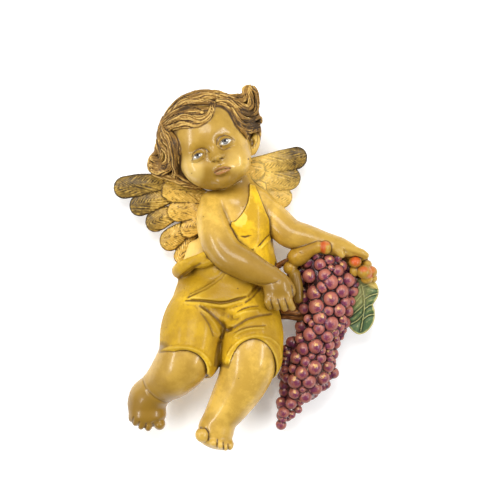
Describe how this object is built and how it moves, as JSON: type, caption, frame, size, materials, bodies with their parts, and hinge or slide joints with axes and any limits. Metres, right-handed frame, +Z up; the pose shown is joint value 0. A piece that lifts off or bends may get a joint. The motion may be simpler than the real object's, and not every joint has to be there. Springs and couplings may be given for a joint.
{
  "type": "cherub wall plaque",
  "caption": "Hand-painted cast wall plaque of a winged child holding a long bunch of grapes, with a flat back and a hanging socket.",
  "frame": {"origin": "on the flat back at the wall, between the shoulders just under the hanging socket", "axes": "+Z up the wall, +X to the right of someone facing the plaque, +Y into the wall, so the figure stands out towards -Y"},
  "size_m": [0.272, 0.0969, 0.3654],
  "materials": {
    "painted_resin": "hand painted in ochre, gold, brown and mauve with a dark antique wash, semi-gloss varnish"
  },
  "bodies": {
    "root": {"cherub_plaque": "painted_resin"}
  },
  "joints": []
}
